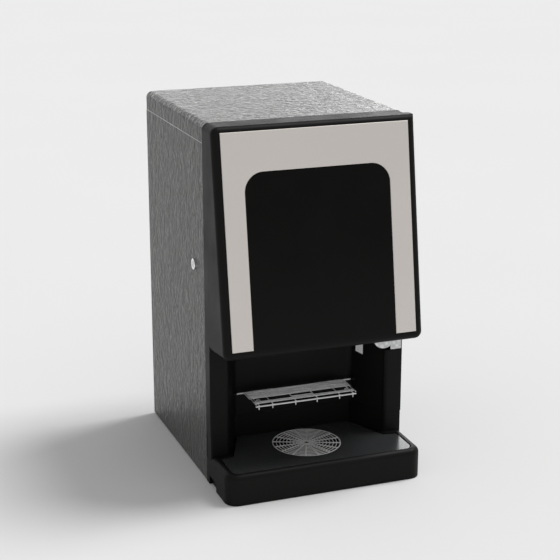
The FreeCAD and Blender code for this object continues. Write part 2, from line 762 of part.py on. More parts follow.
def display_module():
    panel = slab(
        "display_panel", rectangle("display_half", "display_low", "display_high"),
        "display_depth - 0.2", "-display_depth",
    )
    board = slab(
        "display_board", rectangle("display_half - 20", "display_low + 20", "display_high - 20"),
        3, "-display_depth - 3",
    )
    node("display_module", fused(panel, board))


def striker_windows():
    return [
        box(("-latch_x - 9", "-latch_x + 11"), (f"{REAR_OF_DOOR} - 4", f"{REAR_OF_DOOR} + 1"),
            (f"{z} - 9", f"{z} + 32"))
        for z in ("striker_low", "striker_high")
    ]


def door_inner_cover():
    plate = box(
        (f"-({HALF}) + door_wall + 0.3", f"{HALF} - hinge_stile - 0.3"),
        (f"{REAR_OF_DOOR} - inner_cover", REAR_OF_DOOR),
        ("door_rear_bottom + door_wall + 0.6", "case_height - door_wall - 0.3"),
    )
    plate = rounded(plate, "door_corner - door_wall", on_case("y", z=(
        "door_rear_bottom + door_wall + 0.6", "case_height - door_wall - 0.3")))
    node("door_inner_cover", cut(plate, *striker_windows()))


def door_strikers():
    strikers = []
    front = f"{REAR_OF_DOOR} - inner_cover"
    for z in ("striker_low", "striker_high"):
        pin = rod("striker_pin", "x", ("-latch_x - 8", "-striker_y", z), 18)
        ears = [
            box((x, f"{x} + 2"), ("-striker_y - 5", front), (f"{z} - 8", f"{z} + 8"))
            for x in ("-latch_x - 8", "-latch_x + 8")
        ]
        feet_of_ears = [
            box(span, (f"{front} - 1.5", front), (f"{z} - 8", f"{z} + 8"))
            for span in (("-latch_x - 15", "-latch_x - 7"), ("-latch_x + 9", "-latch_x + 17"))
        ]
        strikers.append(fused(pin, *ears, *feet_of_ears))
    node("door_strikers", group(*strikers))


def hinges():
    bush_low = "door_rear_bottom + 5"
    bush = cut(
        rod("hinge_bush", "z", (HINGE_X, HINGE_Y, bush_low), "hinge_bush_length"),
        rod("hinge_pin + running_fit", "z", (HINGE_X, HINGE_Y, f"{bush_low} - 1"), 20),
    )
    node("door_hinge_bush", bush)
    node("door_hinge_pin", rod(
        "hinge_pin", "z", (HINGE_X, HINGE_Y, "upper_tab_z - 12"), "tab_thick + 24"))
    tab_half = "hinge_inset - 0.3"
    upper_nose = rod(tab_half, "z", (HINGE_X, HINGE_Y, "upper_tab_z"), "tab_thick")
    upper_tab = box(
        (f"{HINGE_X} - ({tab_half})", f"{HINGE_X} + ({tab_half})"), (HINGE_Y, "-frame_depth / 2"),
        ("upper_tab_z", "upper_tab_z + tab_thick"),
    )
    eye = rod("hinge_pin + running_fit", "z", (HINGE_X, HINGE_Y, "upper_tab_z - 1"), 10)
    node("upper_hinge_bracket", cut(fused(upper_nose, upper_tab), eye))

    tab_top = "door_rear_bottom - 1.5"
    tab_low = f"{tab_top} - tab_thick"
    nose = rod(tab_half, "z", (HINGE_X, HINGE_Y, tab_low), "tab_thick")
    plate_y = ("-frame_depth + 1", "-frame_depth + 3")
    tab = box(
        (f"{HINGE_X} - ({tab_half})", f"{HALF} - pillar_skin - 0.3"), (HINGE_Y, plate_y[1]),
        (tab_low, tab_top),
    )
    foot = rounded(
        box((179, f"{HALF} - pillar_skin - 0.3"), plate_y, ("pillar_cut + 0.3", tab_top)), 2,
        on_case("y", z=("pillar_cut + 0.3",)),
    )
    lobe = cut(
        rod(24, "y", (165, plate_y[0], 268.6), 2),
        box((130, 200), (-40, 0), (tab_top, 300)), box((180, 200), (-40, 0), (240, 300)),
    )
    bridge = box((178, 182), plate_y, (252, tab_top))
    pin = rod("hinge_pin", "z", (HINGE_X, HINGE_Y, tab_low), "tab_thick + 15")
    node("lower_hinge_bracket", fused(nose, tab, foot, lobe, bridge, pin))


# ---------------------------------------------------------------- lock and latch

def side_lock():
    outside = f"-({HALF})"
    flange = rod("lock_flange", "x", (f"{outside} - lock_proud", "lock_y", "lock_z"), "lock_proud")
    flange = rounded(flange, 1.2, lambda shape: [
        number for number, edge in enumerate(shape.Edges, start=1)
        if edge.Curve.TypeId == "Part::GeomCircle" and edge.BoundBox.XMax < value(outside) - 1
    ])
    barrel = rod("lock_radius", "x", (outside, "lock_y", "lock_z"), "lock_length")
    bore = rod("plug_radius + running_fit", "x", (f"{outside} - 10", "lock_y", "lock_z"), 60)
    node("lock_housing", cut(fused(flange, barrel), bore))

    nut_start = f"{outside} + sheet"
    nut = doc.addObject("Part::Prism", "nut")
    nut.Placement = FreeCAD.Placement(FreeCAD.Vector(), TURNS["x"])
    nut.Polygon = 6
    nut.setExpression("Circumradius", linked("lock_radius + 5"))
    nut.Height = 4
    place(nut, (nut_start, "lock_y", "lock_z"))
    node("lock_nut", cut(nut, rod("lock_radius", "x", (f"{nut_start} - 1", "lock_y", "lock_z"), 6)))

    plug_start = f"{outside} - lock_proud - 0.6"
    plug = rod("plug_radius", "x", (plug_start, "lock_y", "lock_z"), "lock_length + lock_proud + 4")
    slot = box(
        (f"{plug_start} - 1", f"{plug_start} + 6"),
        ("lock_y - key_slot_width / 2", "lock_y + key_slot_width / 2"),
        ("lock_z - key_slot_length / 2", "lock_z + key_slot_length / 2"),
    )
    node("lock_plug", cut(plug, slot))


PLUG_END = f"-({HALF}) - 0.6 + lock_length + 4"
CAM_REACH = "cam_throw * 0.70710678"


def lock_cam():
    """The arm stands 45 degrees up and forward; a quarter turn swings it 45 degrees down."""
    hub = rod("plug_radius + 1", "x", (PLUG_END, "lock_y", "lock_z"), 2)
    arm = doc.addObject("Part::Box", "arm")
    arm.Length = 2
    arm.setExpression("Width", linked("cam_throw + 4"))
    arm.Height = 8
    turn = FreeCAD.Rotation(FreeCAD.Vector(1, 0, 0), 135)
    corner = turn.multVec(FreeCAD.Vector(0, 0, -4))
    arm.Placement = FreeCAD.Placement(FreeCAD.Vector(), turn)
    place(arm, (PLUG_END, f"lock_y + ({corner.y})", f"lock_z + ({corner.z})"))
    pin = rod("cam_pin", "x", (
        f"{PLUG_END} + 1", f"lock_y - {CAM_REACH}", f"lock_z + {CAM_REACH}"), "12")
    node("lock_cam", fused(hub, arm, pin))


def latch_bar():
    x = ("-latch_x", "-latch_x + latch_plate")
    post = box(x, ("lock_y - 18", "lock_y - 2"), ("latch_low", "latch_high"))
    parts = [post]
    for z in ("striker_low", "striker_high"):
        under = f"{z} + striker_pin + 0.8 + latch_travel"
        parts.append(box(x, ("-hook_reach", "lock_y - 2"), (under, f"{under} + 10")))
        parts.append(
            box(x, ("-hook_reach", "-hook_reach + hook_tip"), (f"{under} - 8", f"{under} + 1")),
        )
    slot = box(
        (f"{x[0]} - 1", f"{x[1]} + 1"), ("lock_y - cam_throw - 2.6", "lock_y - cam_throw + 6.4"),
        (f"lock_z + {CAM_REACH} - cam_slot", f"lock_z + {CAM_REACH} + cam_slot"),
    )
    node("latch_bar", cut(fused(*parts), slot))


# ---------------------------------------------------------------- equipment inside

def equipment_frame():
    half = f"{HALF} - sheet - 2"
    deck = box((minus(half), half), (4, "case_depth - 8"), ("deck_z", "deck_z + sheet"))
    wall = box(
        (minus(half), half), ("bulkhead_y", "bulkhead_y + sheet"), ("deck_z", "bulkhead_top"),
    )
    flanges = [
        box(x, (4, "case_depth - 8"), ("deck_z", "deck_z + 20"))
        for x in ((minus(half), f"-({half}) + sheet"), (f"{half} - sheet", half))
    ]
    holes = [
        rod("hose_radius + 2", "z", (x, "spout_y", "deck_z - 1"), 4) for x in (-9, 9)
    ]
    for x, z in (("auger_x", "auger_z"), ("auger_x", "whip_z")):
        holes.append(rod("auger_shaft + 3", "y", (x, "bulkhead_y - 2", z), 6))
    holes.append(rod(12, "z", (60, 320, "deck_z - 1"), 4))
    node("equipment_frame", cut(fused(deck, wall, *flanges), *holes))


def brewer():
    back = box(("-brew_x - 42", "-brew_x + 42"), ("bulkhead_y - 6", "bulkhead_y"), (390, 558))
    seat = fused(
        box(
            ("-brew_x - 32", "-brew_x + 32"), ("brew_y", "bulkhead_y - 3"),
            ("chamber_low - 6", "chamber_low"),
        ),
        rod("chamber_radius + 6", "z", ("-brew_x", "brew_y", "chamber_low - 6"), 6),
    )
    drain = rod("hose_radius", "z", ("-brew_x", "brew_y", "chamber_low - 8"), 10)
    top = box(
        ("-brew_x - 26", "-brew_x + 26"), ("brew_y - 26", "bulkhead_y - 3"),
        ("arm_z", "arm_z + arm_thick"),
    )
    guide = rod("piston_rod + running_fit", "z", ("-brew_x", "brew_y", "arm_z - 1"), 20)
    node("brew_frame", cut(fused(back, seat, top), drain, guide))

    centre = ("-brew_x", "brew_y", "chamber_low")
    cup = cut(
        rod("chamber_radius", "z", centre, "chamber_high - chamber_low"),
        rod("chamber_bore", "z", ("-brew_x", "brew_y", "chamber_low + 5"), 100),
        rod("hose_bore", "z", ("-brew_x", "brew_y", "chamber_low - 1"), 10),
    )
    node("brew_chamber", cup)
    head = rod("piston_radius", "z", ("-brew_x", "brew_y", "piston_low"), "piston_length")
    groove = cut(
        rod("piston_radius + 1", "z", ("-brew_x", "brew_y", "piston_low + 5"), 3),
        rod("piston_radius - 1.5", "z", ("-brew_x", "brew_y", "piston_low + 4"), 5),
    )
    stem = rod("piston_rod", "z", ("-brew_x", "brew_y", "piston_low + 1"), "575 - piston_low")
    node("brew_piston", fused(cut(head, groove), stem))


def gear_motor(axis, start, shaft_length, hollow=0):
    """A small can motor on a square gearbox, with its shaft pointing back at the start."""
    x, y, z = start
    if axis == "y":
        gearbox = box((f"{x} - 20", f"{x} + 20"), (y, f"{y} + 22"), (f"{z} - 20", f"{z} + 20"))
        can = rod("motor_radius", "y", (x, f"{y} + 21", z), 40)
        shaft = rod("auger_shaft", "y", (x, f"{y} - {shaft_length}", z), f"{shaft_length} + 2")
        return fused(gearbox, can, shaft)
    gearbox = box((f"{x} - 24", f"{x} + 24"), (f"{y} - 24", f"{y} + 24"), (z, f"{z} + 36"))
    can = rod("motor_radius", "z", (x, y, f"{z} + 35"), 40)
    return cut(fused(gearbox, can), rod("piston_rod + 0.6", "z", (x, y, f"{z} - 1"), hollow))


def gear_motors():
    behind = "bulkhead_y + sheet"
    node("gear_motors", group(
        gear_motor("y", ("auger_x", behind, "auger_z"), 12),
        gear_motor("y", ("auger_x", behind, "whip_z"), 12),
        gear_motor("z", ("-brew_x", "brew_y", "arm_z + arm_thick"), 0, hollow=30),
    ))


def grinder():
    centre = "-brew_x"
    motor = rod("grinder_radius - 6", "z", (centre, "grinder_y", "grinder_low"), 75)
    head = rod(
        "grinder_radius", "z", (centre, "grinder_y", "grinder_low + 74"),
        "grinder_high - grinder_low - 74",
    )
    chamber = rod("burr_radius + 2", "z", (centre, "grinder_y", "burr_z - 9"), 26)
    mouth = rod(18, "z", (centre, "grinder_y", "burr_z"), 60)
    spindle_hole = rod(4.5, "z", (centre, "grinder_y", "burr_z - 40"), 50)
    chute = box(
        (f"{centre} - 12", f"{centre} + 12"), ("grinder_y + 30", "brew_y - 34"),
        ("burr_z - 15", "burr_z + 9"),
    )
    bore = box(
        (f"{centre} - 9", f"{centre} + 9"), ("grinder_y + 20", "brew_y - 36"),
        ("burr_z - 9", "burr_z + 6"),
    )
    drop = box(
        (f"{centre} - 9", f"{centre} + 9"), ("brew_y - 50", "brew_y - 36"), ("burr_z - 20", "burr_z"),
    )
    node("grinder_body", cut(fused(motor, head, chute), chamber, mouth, spindle_hole, bore, drop))
    plate = rod("burr_radius", "z", (centre, "grinder_y", "burr_z - 6"), 6)
    nose = cone(16, 7, "z", (centre, "grinder_y", "burr_z - 1"), 14)
    spindle = rod(4, "z", (centre, "grinder_y", "burr_z - 36"), 34)
    teeth = []
    for i in range(12):
        tooth = doc.addObject("Part::Box", "tooth")
        tooth.Length = 7
        tooth.Width = 2
        tooth.Height = 3
        turn = FreeCAD.Rotation(FreeCAD.Vector(0, 0, 1), 30 * i)
        corner = turn.multVec(FreeCAD.Vector(16.5, -1, 0))
        tooth.Placement = FreeCAD.Placement(FreeCAD.Vector(), turn)
        place(tooth, (f"{centre} + ({corner.x})", f"grinder_y + ({corner.y})", "burr_z - 1"))
        teeth.append(tooth)
    node("grinder_burr", fused(plate, nose, spindle, *teeth))


def bean_hopper():
    x = ("-hopper_left", "-hopper_right")
    y = ("hopper_front", "hopper_back")
    outer = box(x, y, ("hopper_low + 24", "hopper_high"))
    outer = rounded(outer, 4, on_case("z", x=x, y=y))
    inner = box(
        (f"{x[0]} + 2", f"{x[1]} - 2"), (f"{y[0]} + 2", f"{y[1]} - 2"), (
            "hopper_low + 26", "hopper_high + 1",
        ),
    )
    neck = cone(20, 37, "z", ("-brew_x", "grinder_y", "hopper_low"), 25)
    throat = cone(16, 34, "z", ("-brew_x", "grinder_y", "hopper_low - 1"), 28)
    node("bean_hopper", cut(fused(outer, neck), inner, throat))


def lid(x, y, top):
    """A lift-off lid: a plate with a skirt outside the rim and a finger bar."""
    plate = box(
        (f"{x[0]} - 2.4", f"{x[1]} + 2.4"), (f"{y[0]} - 2.4", f"{y[1]} + 2.4"),
        (f"{top} - lid_skirt", f"{top} + 2.3"),
    )
    plate = rounded(plate, 5, on_case(
        "z", x=(f"{x[0]} - 2.4", f"{x[1]} + 2.4"), y=(f"{y[0]} - 2.4", f"{y[1]} + 2.4")))
    hollow = box(
        (f"{x[0]} - 0.4", f"{x[1]} + 0.4"), (f"{y[0]} - 0.4", f"{y[1]} + 0.4"),
        (f"{top} - lid_skirt - 1", f"{top} + 0.3"),
    )
    middle_x, middle_y = f"(({x[0]}) + ({x[1]})) / 2", f"(({y[0]}) + ({y[1]})) / 2"
    bar = box(
        (f"{middle_x} - 20", f"{middle_x} + 20"), (f"{middle_y} - 4", f"{middle_y} + 4"),
        (f"{top} + 2", f"{top} + 9"),
    )
    return fused(cut(plate, hollow), bar)


def grounds_bin():
    x, y = ("-bin_left", "-bin_right"), ("bin_front", "bin_back")
    outer = rounded(box(x, y, ("deck_z + sheet + 0.2", "bin_top")), 4, on_case("z", x=x, y=y))
    inside_x, inside_y = ("-bin_left + 2", "-bin_right - 2"), ("bin_front + 2", "bin_back - 2")
    inner = box(inside_x, inside_y, ("deck_z + sheet + 3", "bin_top + 1"))
    node("grounds_bin", cut(outer, inner))


def canister():
    x, y = ("canister_left", "canister_right"), ("canister_front", "canister_back")
    outer = rounded(box(x, y, ("canister_low", "canister_top")), 4, on_case("z", x=x, y=y))
    inside_x = ("canister_left + 2", "canister_right - 2")
    inside_y = ("canister_front + 2", "canister_back - 2")
    hopper = box(inside_x, inside_y, ("auger_z", "canister_top + 1"))
    trough = rod(
        "auger_tube", "y", ("auger_x", "canister_front + 2", "auger_z"),
        "canister_back - canister_front - 4",
    )
    nozzle = rod(
        "auger_tube + 2", "y", ("auger_x", "nozzle_front", "auger_z"),
        "canister_front - nozzle_front + 3",
    )
    bore = rod(
        "auger_tube", "y", ("auger_x", "nozzle_front + 2", "auger_z"),
        "canister_front - nozzle_front + 10",
    )
    drop = box(
        ("auger_x - 10", "auger_x + 10"), ("nozzle_front + 4", "nozzle_front + 22"),
        ("auger_z - 24", "auger_z"),
    )
    back_hole = rod("auger_shaft + 0.5", "y", ("auger_x", "canister_back - 6", "auger_z"), 12)
    node("ingredient_canister", cut(fused(outer, nozzle), hopper, trough, bore, drop, back_hole))
    node("canister_lid", lid(x, y, "canister_top"))
    node(
        "bean_hopper_lid",
        lid(("-hopper_left", "-hopper_right"), ("hopper_front", "hopper_back"), "hopper_high"),
    )


def auger():
    """A flat screw blade wound on a shaft."""
    length = value("canister_back - nozzle_front - 14")
    shaft_radius, blade = value("auger_shaft"), value("auger_radius")
    start = value("nozzle_front + 6")
    helix = Part.makeHelix(value("auger_pitch"), length, blade - 2)
    ribbon = Part.makePolygon([
        FreeCAD.Vector(shaft_radius - 0.5, 0, -0.9), FreeCAD.Vector(blade, 0, -0.9),
        FreeCAD.Vector(blade, 0, 0.9), FreeCAD.Vector(shaft_radius - 0.5, 0, 0.9),
        FreeCAD.Vector(shaft_radius - 0.5, 0, -0.9),
    ])
    screw = Part.Wire(helix.Edges).makePipeShell([ribbon], True, True)
    shaft = Part.makeCylinder(shaft_radius, length + 12, FreeCAD.Vector(0, 0, -2))
    feature = doc.addObject("Part::Feature", "auger")
    feature.Shape = shaft.fuse(screw)
    feature.Placement = FreeCAD.Placement(
        FreeCAD.Vector(value("auger_x"), value("case_front") + start, value("auger_z")), TURNS["y"])
    node("auger", feature)


def mixer():
    centre = ("auger_x", "bowl_y")
    funnel = cone("bowl_radius - 12", "bowl_radius", "z", (*centre, "bowl_low"), "bowl_high - bowl_low")
    inside = cone(
        "bowl_radius - 14", "bowl_radius - 2", "z", (*centre, "bowl_low + 2"), "bowl_high - bowl_low",
    )
    snout = rod("whip_radius + 4", "y", ("auger_x", "bowl_y + 8", "whip_z"), 40)
    cave = rod("whip_radius + 2", "y", ("auger_x", "bowl_y + 6", "whip_z"), 39)
    tail = box(
        ("auger_x - 12", "auger_x + 12"), ("bowl_y + 44", "bulkhead_y"), ("whip_z - 10", "whip_z + 18"),
    )
    tunnel = rod("auger_shaft + 1", "y", ("auger_x", "bowl_y + 40", "whip_z"), 200)
    outlet = rod("hose_radius + 1.5", "z", (*centre, "bowl_low - 10"), 12)
    bore = rod("hose_radius", "z", (*centre, "bowl_low - 11"), 16)
    node("mixing_bowl", cut(fused(funnel, snout, tail, outlet), inside, cave, tunnel, bore))
    hub = rod(6, "y", ("auger_x", "bowl_y + 26", "whip_z"), 10)
    shaft = rod("auger_shaft", "y", ("auger_x", "bowl_y + 30", "whip_z"), "bulkhead_y - bowl_y - 43")
    blades = []
    for i in range(6):
        blade = doc.addObject("Part::Box", "blade")
        blade.setExpression("Length", linked("whip_radius - 6"))
        blade.Width = 8
        blade.Height = 1.6
        turn = FreeCAD.Rotation(FreeCAD.Vector(0, 1, 0), 60 * i)
        corner = turn.multVec(FreeCAD.Vector(4, 0, -0.8))
        blade.Placement = FreeCAD.Placement(FreeCAD.Vector(), turn)
        place(blade, (f"auger_x + ({corner.x})", "bowl_y + 27", f"whip_z + ({corner.z})"))
        blades.append(blade)
    node("whipper_impeller", fused(hub, shaft, *blades))


def spout_head():
    block = rounded(
        box((-24, 24), ("spout_y - 15", "spout_y + 19"), ("spout_low + 9", "frame_bottom - ceiling")), 6,
        on_case("z", x=(-24, 24), y=("spout_y - 15", "spout_y + 19")),
    )
    parts = [block]
    bores = []
    for x in (-9, 9):
        parts.append(cone(4.4, 6, "z", (x, "spout_y", "spout_low"), 10))
        bores.append(rod("hose_bore", "z", (x, "spout_y", "spout_low - 1"), 60))
    node("spout_head", cut(fused(*parts), *bores))


def tube_along(points, bend):
    """A hollow tube along straight runs joined by arcs that touch both runs."""
    corners = [FreeCAD.Vector(x, y + value("case_front"), z) for x, y, z in points]
    pieces = []
    start = corners[0]
    for before, corner, after in zip(corners, corners[1:], corners[2:]):
        to_before, to_after = (before - corner).normalize(), (after - corner).normalize()
        half = to_before.getAngle(to_after) / 2
        set_back = bend / math.tan(half)
        first, last = corner + to_before * set_back, corner + to_after * set_back
        toward = (to_before + to_after).normalize()
        middle = corner + toward * (bend / math.sin(half) - bend)
        pieces.append(Part.LineSegment(start, first).toShape())
        pieces.append(Part.Arc(first, middle, last).toShape())
        start = last
    pieces.append(Part.LineSegment(start, corners[-1]).toShape())
    path = Part.Wire(pieces)
    heading = (corners[1] - corners[0]).normalize()
    solids = []
    for radius in (value("hose_radius"), value("hose_bore")):
        section = Part.Wire(Part.makeCircle(radius, corners[0], heading))
        solids.append(path.makePipeShell([section], True, False))
    return solids[0].cut(solids[1])


def hoses():
    low, spout = value("frame_bottom - ceiling"), value("spout_y")
    brew_x, brew_y, seat = value("brew_x"), value("brew_y"), value("chamber_low - 6")
    coffee = tube_along([
        (-brew_x, brew_y, seat - 0.5), (-brew_x, brew_y, 345), (-50, 120, 325), (-9, spout, 340), (
            -9, spout, low,
        ),
    ], 16)
    bowl_x, bowl_y, bowl_low = value("auger_x"), value("bowl_y"), value("bowl_low - 10")
    milk = tube_along([
        (bowl_x, bowl_y, bowl_low - 0.2), (bowl_x, bowl_y, 335), (9, spout, 335), (9, spout, low),
    ], 16)
    feature = doc.addObject("Part::Feature", "hoses")
    feature.Shape = Part.makeCompound([coffee, milk])
    node("hoses", feature)


# ---------------------------------------------------------------- water, power, fan

def circles_at(low, high):
    return lambda shape: [
        number for number, edge in enumerate(shape.Edges, start=1)
        if edge.Curve.TypeId == "Part::GeomCircle"
        and min(abs(edge.BoundBox.ZMin - value(low)), abs(edge.BoundBox.ZMin - value(high))) < 0.1
    ]


def boiler():
    at = ("-boiler_x", "boiler_y")
    tank = rod("boiler_radius", "z", (*at, "boiler_low"), "boiler_high - boiler_low")
    tank = rounded(tank, "boiler_dome", circles_at("boiler_low", "boiler_high"))
    stand = cut(
        rod("boiler_radius - 10", "z", (*at, "foot_height + sheet"), "boiler_low - foot_height + 12"),
        rod("boiler_radius - 13", "z", (*at, "foot_height"), "boiler_low - foot_height + 4"),
    )
    inside = rod("boiler_radius - 2.5", "z", (*at, "boiler_low + 2.5"), "boiler_high - boiler_low - 5")
    inside = rounded(inside, "boiler_dome - 2.5", circles_at("boiler_low + 2.5", "boiler_high - 2.5"))
    port = rod(6, "z", ("-boiler_x + 26", "boiler_y", "boiler_high - 6"), 16)
    port_bore = rod(4, "z", ("-boiler_x + 26", "boiler_y", "boiler_high - 12"), 30)
    flange = rod(17, "z", (*at, "boiler_high - 1"), 6)
    terminals = [
        rod(3, "z", (f"-boiler_x + {x}", "boiler_y", "boiler_high + 4"), 14) for x in (-8, 8)
    ]
    node("boiler", cut(fused(tank, stand, port, flange, *terminals), inside, port_bore))


def water_pump():
    at = ("pump_y", "pump_z")
    motor = rod("pump_radius", "x", (-30, *at), 90)
    head = rod("pump_radius - 6", "x", (59, *at), 34)
    ports = [rod(7, "y", (78, y, "pump_z"), 20) for y in ("pump_y - 38", "pump_y + 18")]
    cradle = box((-20, 50), ("pump_y - 22", "pump_y + 22"), ("foot_height + sheet", "pump_z - 12"))
    node("water_pump", fused(motor, head, *ports, cradle))


def inlet_valve():
    back = "case_depth - 2 * sheet - 0.1 + sheet"
    stem = rod("thread_radius - 3", "y", ("valve_x", "case_depth - 42", "valve_z"), "40 + 3")
    thread = rod("thread_radius", "y", ("valve_x", back, "valve_z"), "thread_length")
    flange = rod(
        "thread_radius + 4", "y", ("valve_x", "case_depth - 8", "valve_z"), "8 - 2 * sheet - 0.3",
    )
    coil = box(
        ("valve_x - 14", "valve_x + 14"), ("case_depth - 41", "case_depth - 13"),
        ("valve_z + 6", "valve_z + 44"),
    )
    bore = rod(8, "y", ("valve_x", "case_depth - 20", "valve_z"), 40)
    node("inlet_valve", cut(fused(stem, thread, flange, coil), bore))


def power_inlet():
    """A mains socket and a switch pocket in one moulding that clips into the rear panel."""
    back = "case_depth - 1.5 * sheet"
    block = box(
        ("socket_x - 35", "socket_x + 25"), ("case_depth - 32", "case_depth - sheet"),
        ("socket_z - 13.5", "socket_z + 13.5"),
    )
    flange = box(
        ("socket_x - 39", "socket_x + 29"), ("case_depth - sheet - 0.1", "case_depth + 1.5"),
        ("socket_z - 17", "socket_z + 17"),
    )
    socket = box(
        ("socket_x - 10", "socket_x + 14"), ("case_depth - 17", "case_depth + 5"),
        ("socket_z - 8", "socket_z + 8"),
    )
    pins = [
        box(
            (f"socket_x + {x} - 1", f"socket_x + {x} + 1"), ("case_depth - 18", "case_depth - 3"),
            (f"socket_z + {z} - 2.5", f"socket_z + {z} + 2.5"),
        )
        for x, z in ((-5, -2), (9, -2), (2, 3))
    ]
    pocket = box(
        ("socket_x - 32", "socket_x - 18"), ("case_depth - 17", "case_depth + 5"),
        ("socket_z - 12", "socket_z + 12"),
    )
    axle_hole = rod("1.5 + running_fit", "x", ("socket_x - 34", "case_depth - 6", "socket_z"), 18)
    node("power_inlet", fused(cut(fused(block, flange), socket, pocket, axle_hole), *pins))
    rocker = doc.addObject("Part::Box", "rocker")
    rocker.Length = 12.8
    rocker.Width = 9
    rocker.Height = 18
    turn = FreeCAD.Rotation(FreeCAD.Vector(1, 0, 0), -12)
    corner = turn.multVec(FreeCAD.Vector(0, 0, -9))
    rocker.Placement = FreeCAD.Placement(FreeCAD.Vector(), turn)
    place(rocker, ("socket_x - 31.4", f"case_depth - 6 + ({corner.y})", f"socket_z + ({corner.z})"))
    axle = rod(1.5, "x", ("socket_x - 33.5", "case_depth - 6", "socket_z"), 17)
    node("power_rocker", fused(rocker, axle))


def control_board():
    board = box((-185, -45), (330, 331.6), (340, 560))
    chips = [
        box((x, x + w), (331.6 - 0.1, 331.6 + t), (z, z + tall))
        for x, w, z, tall, t in (
            (-175, 30, 360, 30, 6), (-130, 40, 380, 40, 14), (-80, 25, 360, 60, 20),
            (-170, 60, 450, 20, 12), (-95, 35, 470, 35, 8), (-170, 40, 510, 30, 16),
        )
    ]
    posts = [
        rod(3, "y", (x, "bulkhead_y + sheet", z), "330 - bulkhead_y - sheet")
        for x in (-178, -52) for z in (347, 553)
    ]
    node("control_board", fused(board, *chips, *posts))


def power_supply():
    case = rounded(box((20, 180), (325, 372), (530, 650)), 3, on_case("z", x=(20, 180), y=(325, 372)))
    vents = [box((35 + 18 * i, 43 + 18 * i), (320, 328), (560, 620)) for i in range(8)]
    bracket = box((10, 190), (372, 373.5), (520, 660))
    inside = box((22, 178), (327, 370), (532, 648))
    node("power_supply", cut(fused(case, bracket), inside, *vents))


def fan():
    back = "case_depth - 2 * sheet - 0.2"
    at_x = "-fan_x"
    square = box(
        (f"{at_x} - fan_half", f"{at_x} + fan_half"), (f"{back} - fan_depth", back),
        ("fan_z - fan_half", "fan_z + fan_half"),
    )
    bore = rod("fan_bore", "y", (at_x, f"{back} - fan_depth - 1", "fan_z"), "fan_depth + 2")
    hub_seat = rod(14, "y", (at_x, f"{back} - fan_depth", "fan_z"), 3)
    arms = [
        box(
            (f"{at_x} - fan_bore - 1", f"{at_x} + fan_bore + 1"),
            (f"{back} - fan_depth", f"{back} - fan_depth + 3"), ("fan_z - 2", "fan_z + 2"),
        ),
        box(
            (f"{at_x} - 2", f"{at_x} + 2"), (f"{back} - fan_depth", f"{back} - fan_depth + 3"),
            ("fan_z - fan_bore - 1", "fan_z + fan_bore + 1"),
        ),
    ]
    node("fan_housing", fused(cut(square, bore), hub_seat, *arms))
    hub = rod(13, "y", (at_x, f"{back} - fan_depth + 4", "fan_z"), 16)
    blades = []
    count = int(value("blade_count"))
    for i in range(count):
        blade = doc.addObject("Part::Box", "blade")
        blade.setExpression("Length", linked("blade_radius - 11"))
        blade.Width = 16
        blade.Height = 1.6
        around = FreeCAD.Rotation(FreeCAD.Vector(0, 1, 0), 360 * i / count)
        pitch = FreeCAD.Rotation(FreeCAD.Vector(1, 0, 0), 35)
        turn = around.multiply(pitch)
        corner = turn.multVec(FreeCAD.Vector(11, -8, -0.8))
        blade.Placement = FreeCAD.Placement(FreeCAD.Vector(), turn)
        place(
            blade,
            (
                f"{at_x} + ({corner.x})", f"{back} - fan_depth + 12 + ({corner.y})",
                f"fan_z + ({corner.z})",
            ),
        )
        blades.append(blade)
    node("fan_rotor", fused(hub, *blades))


def panel_screws():
    screws = []
    for x in (-185, 0, 185):
        for z in (35, 350, 670):
            head = rod("screw_head", "y", (x, "case_depth - sheet - 0.1", z), 1.8)
            cross = [
                box((x - w, x + w), ("case_depth - 0.4", "case_depth + 1"), (z - h, z + h))
                for w, h in ((2.2, 0.4), (0.4, 2.2))
            ]
            screws.append(cut(head, *cross))
    node("panel_screws", group(*screws))


def latch_guides():
    clips = []
    for low in (500, 580):
        z = (low, low + 8)
        clips.append(fused(
            box((f"-({HALF}) + sheet", "-latch_x - 0.4"), ("lock_y - 14", "lock_y + 2"), z),
            box(
                (f"-({HALF}) + sheet", "-latch_x + latch_plate + 2"), ("lock_y - 1.5", "lock_y + 2"), z,
            ),
            box(
                ("-latch_x + latch_plate + 0.4", "-latch_x + latch_plate + 2"),
                ("lock_y - 14", "lock_y + 2"), z,
            ),
        ))
    node("latch_guides", group(*clips))


# ---------------------------------------------------------------- build

for make in (
    base_chassis, feet, side_panels, rear_panel, top_cover, front_frame, pillars,
    cup_station_liner, base_moulding, drip_tray, tray_cover, drip_grid, cup_shelf,
    door_shell, door_panel, door_screen, display_module, door_inner_cover, door_strikers, hinges,
    side_lock, lock_cam, latch_bar, equipment_frame, brewer, gear_motors, grinder, bean_hopper,
    grounds_bin, canister, auger, mixer, spout_head, hoses, boiler, water_pump, inlet_valve,
    power_inlet, control_board, power_supply, fan, panel_screws, latch_guides,
):
    make()

doc.recompute()

faults = [
    f"{thing.Label}: {thing.State}" for thing in doc.Objects
    if "Invalid" in thing.State or "Error" in thing.State
]
for thing in nodes:
    shape = thing.Shape
    if shape.isNull() or not shape.isValid() or not shape.Solids:
        faults.append(f"{thing.Label}: bad shape")
if faults:
    raise RuntimeError("; ".join(faults))

os.makedirs("parts", exist_ok=True)
for thing in nodes:
    thing.Shape.exportStep(os.path.join("parts", thing.Label + ".step"))
print(len(nodes), "nodes")
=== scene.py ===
"""Finishes, stage, lights and camera for a table-top hot coffee vending machine."""

import json
import math

